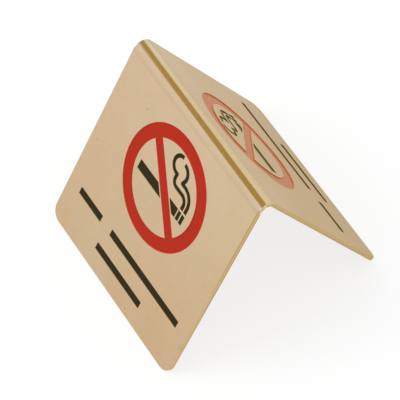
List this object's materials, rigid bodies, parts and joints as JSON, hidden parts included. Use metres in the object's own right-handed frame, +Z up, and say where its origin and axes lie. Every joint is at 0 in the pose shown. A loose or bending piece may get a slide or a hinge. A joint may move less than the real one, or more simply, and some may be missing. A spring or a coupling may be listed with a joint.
{
  "type": "no smoking sign",
  "caption": "Small brass table sign folded into a tent, with an etched and enamelled no smoking roundel and plain bars on both leaves.",
  "frame": {"origin": "on the surface it stands on, midway between the feet and midway along the ridge", "axes": "+Z up, X along the ridge to the right of a reader of the front leaf, the front leaf faces -Y"},
  "size_m": [0.052, 0.0556, 0.0454],
  "materials": {
    "brass": "polished and lacquered, slightly hazy, with faint stains and a press line beside the bend",
    "red_enamel": "smooth glossy stove enamel",
    "black_enamel": "smooth glossy stove enamel"
  },
  "bodies": {
    "root": {"folded_sheet": "brass", "front_red_ring": "red_enamel", "back_red_ring": "red_enamel", "front_black_figure": "black_enamel", "back_black_figure": "black_enamel", "front_black_bars": "black_enamel", "back_black_bars": "black_enamel"}
  },
  "joints": []
}
